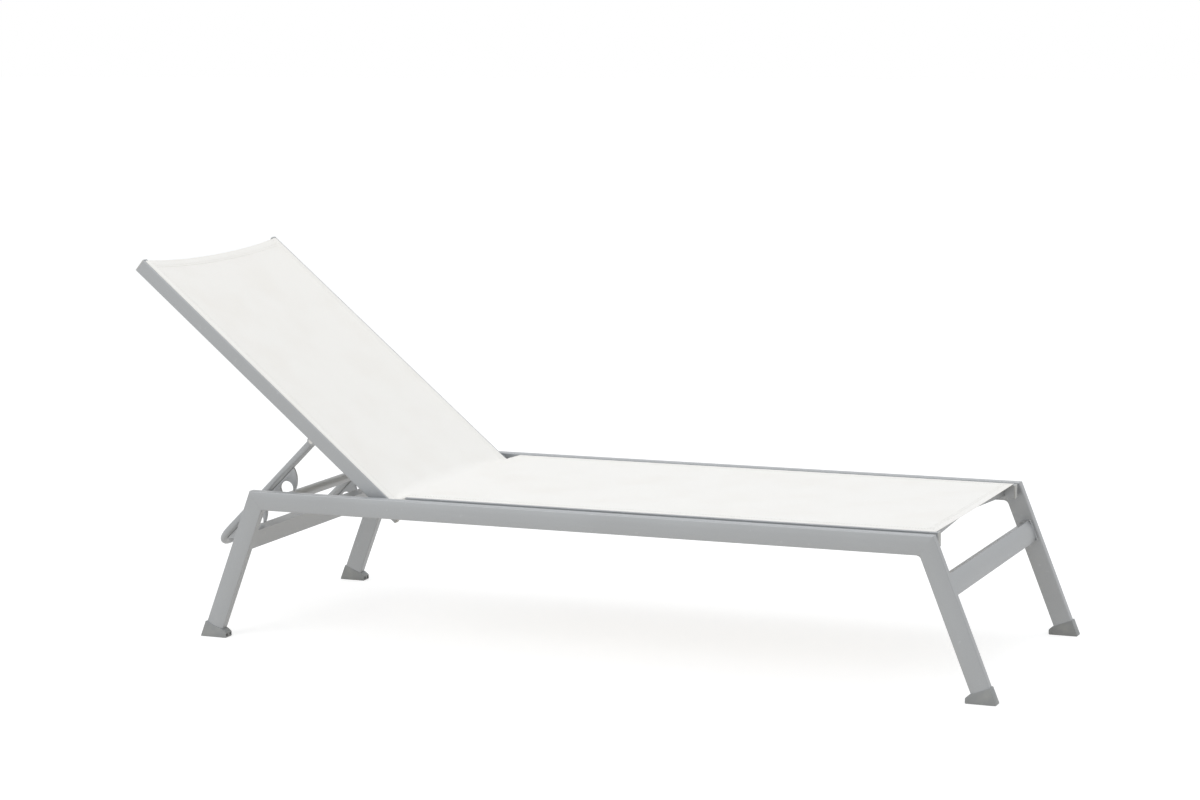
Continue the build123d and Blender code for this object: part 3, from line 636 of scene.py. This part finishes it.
def cloth_at(run, y):
    """The same for a distance along the rails instead of a row."""
    run = min(max(run, 0.0), sling_length)
    row = min(bisect.bisect_left(edge_run, run, 1), len(edge_run) - 1)
    share = (run - edge_run[row - 1]) / (edge_run[row] - edge_run[row - 1])
    return cloth_point(row - 1, y).lerp(cloth_point(row, y), share)


print("Normal on the seat:", [round(v, 2) for v in row_normal(20)])

# %% [markdown]
# ## The cloth
#
# Each side of the sling has a hem: the cloth is folded back under itself and sewn, which
# makes a pocket for the spline. From above it shows as a band that stands a hair proud,
# with two lines of stitches along it. The grid's columns are set close at the band's
# inner edge and where the cloth turns down into the rail's slot, and wider in between.

# %% Columns of the sling
HEM_WIDTH = 12 * MM
HEM_RISE = 0.35 * MM
HEM_RAMP = 1.6 * MM
HEM_SHARES = (0.4, 0.7, 1.0)
HEM_FADE = 0.6
END_HEM = 24 * MM
SLOT_FROM_OUTSIDE = 5 * MM
SLOT_PLAY = 0.1 * MM
SLOT_DEPTH = 4.5 * MM
TURN_DOWN = 0.6 * MM
PLAIN_COLUMNS = 22
RAIL_COLUMNS = 4

slot_side = rail_high.y - SLOT_FROM_OUTSIDE + SLOT_PLAY + CLOTH
hem_y = rail_inner - HEM_WIDTH
over_rail = slot_side - TURN_DOWN - rail_inner
half_columns = [hem_y * i / PLAIN_COLUMNS for i in range(1, PLAIN_COLUMNS)]
half_columns += [hem_y - HEM_RAMP, hem_y, hem_y + HEM_RAMP]
half_columns += [hem_y + HEM_WIDTH * share for share in HEM_SHARES]
half_columns += [rail_inner + over_rail * (i + 1) / RAIL_COLUMNS for i in range(RAIL_COLUMNS)]
columns = [-y for y in reversed(half_columns)] + [0.0] + half_columns
edge_profile = [(slot_side - 0.4 * TURN_DOWN, 0.2 * TURN_DOWN), (slot_side, TURN_DOWN)]
edge_profile += [(slot_side, SLOT_DEPTH)]


def hem_rise(run, y):
    """How far the doubled cloth stands above the single cloth, less and less at the slot."""
    side = smooth((abs(y) - hem_y + HEM_RAMP) / (2 * HEM_RAMP))
    from_end = min(run, sling_length - run)
    doubled = max(side, smooth((END_HEM - from_end) / HEM_RAMP))
    return HEM_RISE * doubled * smooth((slot_side - TURN_DOWN - abs(y)) / (HEM_FADE * over_rail))


print("Columns:", len(columns), "and", len(edge_profile), "more down each slot")

# %% [markdown]
# The mesh is a plain grid over those rows and columns. Its UV map is in metres of cloth,
# so that the weave can follow the surface.

# %% Sling mesh
vertices, uvs = [], []
for row, run in enumerate(edge_run):
    normal = row_normal(row)
    line = [(y, 0.0, hem_rise(run, y)) for y in columns]
    line = [(-y, drop, 0.0) for y, drop in reversed(edge_profile)] + line
    line += [(y, drop, 0.0) for y, drop in edge_profile]
    for y, drop, rise in line:
        vertices.append(cloth_point(row, y) + normal * (rise - drop))
        uvs.append((y + math.copysign(drop, y), run))
wide = len(columns) + 2 * len(edge_profile)
faces = []
for row in range(len(edge_run) - 1):
    for column in range(wide - 1):
        a = row * wide + column
        faces.append((a, a + wide, a + wide + 1, a + 1))

sling_data = bpy.data.meshes.new("sling")
sling_data.from_pydata(vertices, [], faces)
uv_layer = sling_data.uv_layers.new(name="cloth_metres")
for loop in sling_data.loops:
    uv_layer.data[loop.index].uv = uvs[loop.vertex_index]
sling = bpy.data.objects.new("sling", sling_data)
bpy.context.scene.collection.objects.link(sling)
seat_face = len(faces) // 4
if sling.data.polygons[seat_face].normal.z < 0:
    sling.data.flip_normals()
print("Sling faces:", len(faces), "facing up:", sling.data.polygons[seat_face].normal.z > 0)

# %% [markdown]
# The grid is the cloth's upper face. A Solidify modifier gives it thickness downwards, so
# that the face that was worked out stays where it is.

# %% Thickness of the cloth
CLOTH_CREASE = math.radians(50)

bpy.context.view_layer.objects.active = sling
sling.select_set(True)
thick = sling.modifiers.new("cloth_thickness", "SOLIDIFY")
thick.thickness = CLOTH
thick.offset = -1
bpy.ops.object.modifier_apply(modifier=thick.name)
bpy.ops.object.shade_smooth_by_angle(angle=CLOTH_CREASE)
sling.select_set(False)
print("Sling triangles:", 2 * len(sling.data.polygons))

# %% [markdown]
# ## Stitches
#
# The hems are sewn with two rows of lockstitch in a thick bonded thread. Each stitch is a
# short bow of thread that dips into the cloth at both ends. It is drawn as five small
# rings, turned to lie along the seam and square to the cloth. At 26 faces each, even
# sixteen hundred stitches stay light.

# %% One stitch
STITCH_LENGTH = 4.6 * MM
THREAD_RADIUS = 0.42 * MM
STITCH_BOW = 0.35 * MM
STITCH_RINGS = 5
STITCH_SIDES = 6


def add_stitch(centre, along, up, points, quads):
    """Five rings of thread from end to end, with a bow in the middle."""
    across = along.cross(up)
    first = len(points)
    for ring in range(STITCH_RINGS):
        share = ring / (STITCH_RINGS - 1)
        bow = STITCH_BOW * (math.sin(math.pi * share) * 2 - 1)
        middle = centre + along * (share - 0.5) * STITCH_LENGTH + up * bow
        for side in range(STITCH_SIDES):
            angle = 2 * math.pi * side / STITCH_SIDES
            outward = across * math.cos(angle) + up * math.sin(angle)
            points.append(middle + outward * THREAD_RADIUS)
    for ring in range(STITCH_RINGS - 1):
        for side in range(STITCH_SIDES):
            a = first + ring * STITCH_SIDES + side
            b = first + ring * STITCH_SIDES + (side + 1) % STITCH_SIDES
            quads.append((a, b, b + STITCH_SIDES, a + STITCH_SIDES))
    quads.append(tuple(reversed(range(first, first + STITCH_SIDES))))
    last = first + (STITCH_RINGS - 1) * STITCH_SIDES
    quads.append(tuple(range(last, last + STITCH_SIDES)))


print("Faces in a stitch:", (STITCH_RINGS - 1) * STITCH_SIDES + 2)

# %% [markdown]
# A seam spaces its stitches evenly between two places on the cloth. At each one it feels
# the cloth a little to every side, to find which way the surface lies there. Two seams
# run along each side of the sling and two across each end.

# %% Stitches along the hems
STITCH_PITCH = 6 * MM
SEAM_INSETS = (2.5 * MM, 8 * MM)
PROBE = 1 * MM


def seam(start, end, points, quads):
    """Stitches between two places, each given as distance along the rails and across."""
    length = math.dist(start, end)
    count = int(length / STITCH_PITCH)
    step_run = (end[0] - start[0]) / count
    step_y = (end[1] - start[1]) / count
    for i in range(count):
        run = start[0] + step_run * (i + 0.5)
        y = start[1] + step_y * (i + 0.5)
        on_run = (cloth_at(run + PROBE, y) - cloth_at(run - PROBE, y)).normalized()
        on_y = (cloth_at(run, y + PROBE) - cloth_at(run, y - PROBE)).normalized()
        up = on_y.cross(on_run)
        if up.z < 0:
            up = -up
        along = on_run if abs(step_run) > abs(step_y) else on_y
        add_stitch(cloth_at(run, y) + up * hem_rise(run, y), along, up, points, quads)


stitch_points, stitch_faces = [], []
for inset in SEAM_INSETS:
    for side in (-1, 1):
        y = side * (hem_y + inset)
        seam((inset, y), (sling_length - inset, y), stitch_points, stitch_faces)
    for run in (END_HEM - inset, sling_length - END_HEM + inset):
        seam((run, -hem_y), (run, hem_y), stitch_points, stitch_faces)
stitch_data = bpy.data.meshes.new("sling_stitches")
stitch_data.from_pydata(stitch_points, [], stitch_faces)
stitches = bpy.data.objects.new("sling_stitches", stitch_data)
bpy.context.scene.collection.objects.link(stitches)
for face in stitch_data.polygons:
    face.use_smooth = True
print("Stitches:", len(stitch_points) // (STITCH_RINGS * STITCH_SIDES))

# %% [markdown]
# ## Woven mesh for the sling
#
# Sling cloth is polyester yarn coated in soft vinyl and woven in a plain weave, warp over
# weft, with a thread every 1.3 mm. That is finer than the portrait can show, so it is
# drawn at 2.2 mm, still fine enough to read as cloth. The pattern follows the cloth's own
# map in metres, so it bends with the sling at the hinge. Handling leaves the vinyl a shade
# duller in patches wider than a hand, which a slow noise lays over the weave.
# The hollows between the threads are tinted darker than the yarn, as painted shade.

# %% Woven mesh
THREAD_MM = 2.2
THREAD_HEIGHT = 0.3 * MM
CROSSING_BLUR = 0.25
GAP_SHADE_DEPTH = 0.45
CLOUD_MM = 130
CLOUD_STARTS = 0.45
CLOUD_FULL = 0.75
VINYL_ROUGHNESS = 0.62
VINYL_SHEEN = 0.1


def woven_mesh(name, tone, gap_shade_tone, cloud_tone):
    """Plain weave of coated yarn: rounded threads crossing over and under, with painted shade in
    the hollows.
    """
    material, tree, output = new_material(name)
    place = add_node(tree, "ShaderNodeUVMap", {"uv_map": "cloth_metres"}).outputs[0]
    parts = add_node(tree, "ShaderNodeSeparateXYZ", Vector=place)
    waves, humps = [], []
    for axis in ("X", "Y"):
        turns = add_node(
            tree, "ShaderNodeMath", {"operation": "MULTIPLY"},
            _0=parts.outputs[axis], _1=math.pi * per_metre(THREAD_MM),
        )
        wave = add_node(tree, "ShaderNodeMath", {"operation": "SINE"}, _0=turns.outputs[0])
        hump = add_node(tree, "ShaderNodeMath", {"operation": "ABSOLUTE"}, _0=wave.outputs[0])
        waves.append(wave.outputs[0])
        humps.append(hump.outputs[0])
    crossing = add_node(
        tree, "ShaderNodeMath", {"operation": "MULTIPLY"}, _0=waves[0], _1=waves[1]
    )
    over = add_node(
        tree, "ShaderNodeMapRange", {"interpolation_type": "SMOOTHSTEP"},
        _0=crossing.outputs[0], _1=-CROSSING_BLUR, _2=CROSSING_BLUR, _3=0.0, _4=1.0,
    )
    height = add_node(
        tree, "ShaderNodeMix", Factor=over.outputs[0], A=humps[0], B=humps[1]
    )
    # Painted shade: low parts of the weave take the darker gap tone, high parts the yarn colour.
    tint = add_node(tree, "ShaderNodeMix", {"data_type": "RGBA"})
    shade = add_node(
        tree, "ShaderNodeMapRange", _0=height.outputs[0], _1=0.0, _2=GAP_SHADE_DEPTH, _3=0.0, _4=1.0
    )
    tree.links.new(shade.outputs[0], tint.inputs["Factor"])
    tint.inputs[6].default_value = colour(gap_shade_tone)
    cloud = add_node(
        tree, "ShaderNodeTexNoise", Vector=place, Scale=per_metre(CLOUD_MM), Detail=3.0
    )
    handled = add_node(
        tree, "ShaderNodeMapRange",
        _0=cloud.outputs["Fac"], _1=CLOUD_STARTS, _2=CLOUD_FULL, _3=0.0, _4=1.0,
    )
    yarn = add_node(tree, "ShaderNodeMix", {"data_type": "RGBA"})
    tree.links.new(handled.outputs[0], yarn.inputs["Factor"])
    yarn.inputs[6].default_value = colour(tone)
    yarn.inputs[7].default_value = colour(cloud_tone)
    tree.links.new(yarn.outputs[2], tint.inputs[7])
    bump = add_node(
        tree, "ShaderNodeBump", Height=height.outputs[0], Strength=0.35, Distance=THREAD_HEIGHT
    )
    shader = add_node(
        tree, "ShaderNodeBsdfPrincipled", Base_Color=tint.outputs[2],
        Roughness=VINYL_ROUGHNESS, Sheen_Weight=VINYL_SHEEN, Normal=bump.outputs[0],
    )
    tree.links.new(shader.outputs[0], output.inputs["Surface"])
    return material


# EBE7E1 is the painted shade in the hollows of the weave.
sling_cloth = woven_mesh("white_vinyl_mesh_woven", "F8F6F2", "EBE7E1", "F5F2ED")
sling.data.materials.append(sling_cloth)
print("Made", sling_cloth.name)

# %% [markdown]
# ## Sewing thread
#
# Bonded polyester thread is smooth and slightly shiny, and twisted from three plies. The
# ply lines are far too fine to see, so a small noise in the bump is enough.

# %% Thread
TWIST_MM = 0.6
TWIST_HEIGHT = 0.1 * MM
THREAD_ROUGHNESS = 0.5


def bonded_thread(name, tone):
    """Smooth bonded sewing thread with a faint twist."""
    material, tree, output = new_material(name)
    place = add_node(tree, "ShaderNodeTexCoord").outputs["Object"]
    twist = add_node(
        tree, "ShaderNodeTexNoise", Vector=place, Scale=per_metre(TWIST_MM), Detail=1.0
    )
    bump = add_node(
        tree, "ShaderNodeBump", Height=twist.outputs["Fac"], Strength=0.2, Distance=TWIST_HEIGHT
    )
    shader = add_node(
        tree, "ShaderNodeBsdfPrincipled", Base_Color=colour(tone),
        Roughness=THREAD_ROUGHNESS, Normal=bump.outputs[0],
    )
    tree.links.new(shader.outputs[0], output.inputs["Surface"])
    return material


thread = bonded_thread("white_polyester_thread_bonded", "EFEDE9")
stitches.data.materials.append(thread)
print("Made", thread.name)

# %% [markdown]
# ## The sling on its frame
#
# The sling and its stitches have their placement put into their meshes, and the two CAD slings
# that the cloth replaces are hidden.

# %% Sling onto the frame
for piece in (sling, stitches):
    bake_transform(piece)
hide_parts("seat_sling", "back_sling")

# %% [markdown]
# ## Softer edges on moulded and cut parts
#
# The CAD model leaves the edges of the small parts sharp. Real glides and caps come out
# of a mould with a small radius, and the hook plates are tumbled after cutting, and that
# radius is what catches the light. Each such part is copied, its loose triangles are
# merged into clean faces, and a bevel rounds its edges. The copy then stands in for the
# CAD part. A glide is also hollow at its heel, as thick mouldings are, with a rib between
# two pockets, which are inset from the heel's face and pushed in.

# %% Heel pockets
POCKET_WALL = 1.5 * MM
POCKET_RIB = 3.4 * MM
POCKET_DEPTH = 7 * MM
SAME_PLACE = 0.01 * MM
FACING = 0.98


def select_heel(piece, outward, heel_x, keep):
    """Select the faces of a glide's heel that keep() accepts by their centre."""
    bpy.ops.object.mode_set(mode="EDIT")
    bpy.ops.mesh.select_mode(type="FACE")
    bpy.ops.mesh.select_all(action="DESELECT")
    bpy.ops.object.mode_set(mode="OBJECT")
    for face in piece.data.polygons:
        looks_out = face.normal.x * outward > FACING
        in_plane = abs(face.center.x - heel_x) < SAME_PLACE
        face.select = looks_out and in_plane and keep(face.center)
    chosen = sum(face.select for face in piece.data.polygons)
    bpy.ops.object.mode_set(mode="EDIT")
    return chosen


def cut_heel_pockets(piece, outward):
    """Two pockets side by side in a glide's heel, the face that looks along x as given."""
    looking_out = [face for face in piece.data.polygons if face.normal.x * outward > FACING]
    heel = max(looking_out, key=lambda face: face.area)
    heel_x, middle_y = heel.center.x, heel.center.y
    beside_rib = POCKET_RIB / 2
    for side in (-1, 1):
        select_heel(piece, outward, heel_x, lambda centre: True)
        rib_side = (heel_x, middle_y + side * beside_rib, 0)
        bpy.ops.mesh.bisect(plane_co=rib_side, plane_no=(0, 1, 0))
        bpy.ops.object.mode_set(mode="OBJECT")
    pockets = select_heel(
        piece, outward, heel_x, lambda centre: abs(centre.y - middle_y) > beside_rib
    )
    bpy.ops.mesh.inset(thickness=POCKET_WALL, use_individual=True)
    inward = {"value": (-outward * POCKET_DEPTH, 0, 0)}
    bpy.ops.mesh.extrude_region_move(TRANSFORM_OT_translate=inward)
    bpy.ops.object.mode_set(mode="OBJECT")
    print(piece.name, "pockets:", pockets)


print("Pocket depth:", POCKET_DEPTH / MM, "mm")

# %% [markdown]
# The radius is a fraction of a millimetre, and differs from part to part: least on the
# glides, whose pockets have thin walls, and most on the spreader under the foot edge.

# %% Copies with softened edges
SHARP = math.radians(32)
ONE_FACE = math.radians(1)
EDGE_STEPS = 3


def softened_copy(node_name, body, slot, radius):
    """A merged and bevelled copy of a CAD node, which replaces it."""
    source = nodes[node_name]
    piece = bpy.data.objects.new(f"{node_name}_finished", source.data.copy())
    bpy.context.scene.collection.objects.link(piece)
    bpy.ops.object.select_all(action="DESELECT")
    piece.select_set(True)
    bpy.context.view_layer.objects.active = piece
    bpy.ops.object.mode_set(mode="EDIT")
    bpy.ops.mesh.select_all(action="SELECT")
    bpy.ops.mesh.remove_doubles(threshold=SAME_PLACE)
    bpy.ops.mesh.dissolve_limited(angle_limit=ONE_FACE)
    bpy.ops.object.mode_set(mode="OBJECT")
    if slot == "glide":
        cut_heel_pockets(piece, 1 if node_name.startswith("head") else -1)
    bevel = piece.modifiers.new("soft_edges", "BEVEL")
    bevel.width = radius
    bevel.segments = EDGE_STEPS
    bevel.limit_method = "ANGLE"
    bevel.angle_limit = SHARP
    bevel.use_clamp_overlap = True
    bpy.ops.object.modifier_apply(modifier=bevel.name)
    bpy.ops.object.shade_smooth_by_angle(angle=SHARP)
    piece.select_set(False)
    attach(piece, body)
    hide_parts(node_name)
    return piece


SOFTENED = (
    ("head_glide_right", "root", "glide", 0.3 * MM),
    ("head_glide_left", "root", "glide", 0.3 * MM),
    ("foot_glide_right", "root", "glide", 0.3 * MM),
    ("foot_glide_left", "root", "glide", 0.3 * MM),
    ("seat_rail_caps", "root", "cap", 0.4 * MM),
    ("back_rail_caps", "back", "cap", 0.4 * MM),
    ("foot_spreader", "root", "frame", 0.8 * MM),
    ("bail_bracket_right", "back", "frame", 0.4 * MM),
    ("bail_bracket_left", "back", "frame", 0.4 * MM),
    ("hook_plate_right", "bail", "frame", 0.6 * MM),
    ("hook_plate_left", "bail", "frame", 0.6 * MM),
)
for node_name, body, slot, radius in SOFTENED:
    piece = softened_copy(node_name, body, slot, radius)
    print(piece.name, len(piece.data.polygons), "faces")

# %% [markdown]
# ## Weld beads
#
# The cross members are welded to the legs and rails, and the powder coat runs over the
# beads. Round members get a ring, made from a torus. Flat ones get a ring that follows
# their rounded rectangle: a plane whose corners are bevelled, left as bare edges and then
# given a round thickness as a curve.

# %% Bead makers
BEAD = 2.3 * MM
BEAD_STANDS_OFF = 0.2 * BEAD
BEAD_MERGE = 0.001 * MM
ROUND_STEPS = 48
BEAD_SIDES = 10
CORNER_STEPS = 5
CURVE_STEPS = 3


def settle(piece):
    """Point a bead's faces outwards, put its place into its mesh and coat it."""
    piece.name = "bead"
    piece.data.name = "bead"
    bpy.ops.object.mode_set(mode="EDIT")
    bpy.ops.mesh.select_all(action="SELECT")
    bpy.ops.mesh.remove_doubles(threshold=BEAD_MERGE)
    bpy.ops.mesh.normals_make_consistent(inside=False)
    bpy.ops.object.mode_set(mode="OBJECT")
    bpy.ops.object.transform_apply(location=True, rotation=True, scale=True)
    bpy.ops.object.shade_smooth()
    piece.data.materials.clear()
    piece.data.materials.append(silver_coat)
    piece.select_set(False)
    return piece


def round_bead(place, radius):
    """Bead round a tube that meets a face square to y."""
    bpy.ops.object.select_all(action="DESELECT")
    bpy.ops.mesh.primitive_torus_add(
        location=place, rotation=(math.pi / 2, 0, 0), major_radius=radius + BEAD_STANDS_OFF,
        minor_radius=BEAD, major_segments=ROUND_STEPS, minor_segments=BEAD_SIDES,
    )
    return settle(bpy.context.object)


def flat_bead(place, width, height, corner, lean):
    """Bead round a rectangular tube that meets a face square to y, leant about y."""
    bpy.ops.object.select_all(action="DESELECT")
    turn = Matrix.Rotation(lean, 3, "Y") @ Matrix.Rotation(math.pi / 2, 3, "X")
    bpy.ops.mesh.primitive_plane_add(size=1, location=place, rotation=turn.to_euler())
    ring = bpy.context.object
    ring.scale = (width, height, 1)
    bpy.ops.object.transform_apply(location=False, rotation=False, scale=True)
    bpy.ops.object.mode_set(mode="EDIT")
    bpy.ops.mesh.bevel(offset=corner, segments=CORNER_STEPS, affect="VERTICES")
    bpy.ops.mesh.delete(type="ONLY_FACE")
    bpy.ops.object.mode_set(mode="OBJECT")
    bpy.ops.object.convert(target="CURVE")
    ring = bpy.context.object
    ring.data.bevel_depth = BEAD
    ring.data.bevel_resolution = CURVE_STEPS
    bpy.ops.object.convert(target="MESH")
    return settle(bpy.context.object)


def joined(pieces, name, body):
    """Join pieces into one that rides on a body."""
    bpy.ops.object.select_all(action="DESELECT")
    for piece in pieces:
        piece.select_set(True)
    bpy.context.view_layer.objects.active = pieces[0]
    bpy.ops.object.join()
    whole = bpy.context.object
    whole.name = name
    whole.data.name = name
    whole.select_set(False)
    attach(whole, body)
    return whole


print("Bead radius:", BEAD / MM, "mm")

# %% [markdown]
# On the fixed frame there are beads where the stretchers meet the legs, where the catch
# bar meets the side frames, and where the two round spreaders meet the seat rails. The
# stretchers lean with the splayed legs, so their beads are turned by the same angle.

# %% Beads on the fixed frame
LEG_SPLAY = math.radians(21.33)
HEAD_END = -1
FOOT_END = 1
STRETCHER_DROPS = {HEAD_END: 109 * MM, FOOT_END: 103.6 * MM}
STRETCHER_HEIGHT = 44 * MM
STRETCHER_CORNER = 2.5 * MM
STRETCHER_FRONT = 7.5 * MM
STRETCHER_REAR = 29 * MM

side_low, side_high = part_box("side_rail_right")
frame_middle = (side_low.x + side_high.x) / 2
corner_x = (side_high.x - side_low.x) / 2
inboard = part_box("foot_stretcher")[1].y
thickness = STRETCHER_REAR - STRETCHER_FRONT
inward = (STRETCHER_FRONT + STRETCHER_REAR) / 2
beads = []
for end, drop in STRETCHER_DROPS.items():
    x = corner_x + drop * math.sin(LEG_SPLAY) - inward * math.cos(LEG_SPLAY)
    z = side_high.z - drop * math.cos(LEG_SPLAY) - inward * math.sin(LEG_SPLAY)
    for side in (-1, 1):
        place = (frame_middle + end * x, side * inboard, z)
        lean = -end * LEG_SPLAY
        beads.append(flat_bead(place, thickness, STRETCHER_HEIGHT, STRETCHER_CORNER, lean))
bar_low, bar_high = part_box("catch_bar")
bar_centre = (bar_low + bar_high) / 2
for side in (-1, 1):
    place = (bar_centre.x, side * inboard, bar_centre.z)
    beads.append(round_bead(place, (bar_high.x - bar_low.x) / 2))
rail_middle_z = (seat_low.z + seat_high.z) / 2
for spreader in ("seat_spreader_foot", "seat_spreader_head"):
    low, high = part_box(spreader)
    for side in (-1, 1):
        place = ((low.x + high.x) / 2, side * rail_inner, rail_middle_z)
        beads.append(round_bead(place, (high.x - low.x) / 2))
frame_beads = joined(beads, "frame_weld_beads", "root")
print("Frame beads:", len(frame_beads.data.polygons), "faces")

# %% [markdown]
# The back has a round brace near its top and a flat one above the bail. Their beads ride
# on the back, so they are a piece of their own.

# %% Beads on the back
UPPER_BRACE_ALONG = 690 * MM
UPPER_BRACE_RADIUS = 10 * MM
LOWER_BRACE_ALONG = 216 * MM
LOWER_BRACE_LIFT = -7 * MM
LOWER_BRACE_WIDTH = 30 * MM
LOWER_BRACE_DEPTH = 16 * MM
LOWER_BRACE_CORNER = 2 * MM

upper = on_back(UPPER_BRACE_ALONG, 0)
lower = on_back(LOWER_BRACE_ALONG, LOWER_BRACE_LIFT)
flat_size = (LOWER_BRACE_WIDTH, LOWER_BRACE_DEPTH, LOWER_BRACE_CORNER)
beads = []
for side in (-1, 1):
    beads.append(round_bead((upper.x, side * rail_inner, upper.y), UPPER_BRACE_RADIUS))
    beads.append(flat_bead((lower.x, side * rail_inner, lower.y), *flat_size, RECLINE))
back_beads = joined(beads, "back_weld_beads", "back")
print("Back beads:", len(back_beads.data.polygons), "faces")
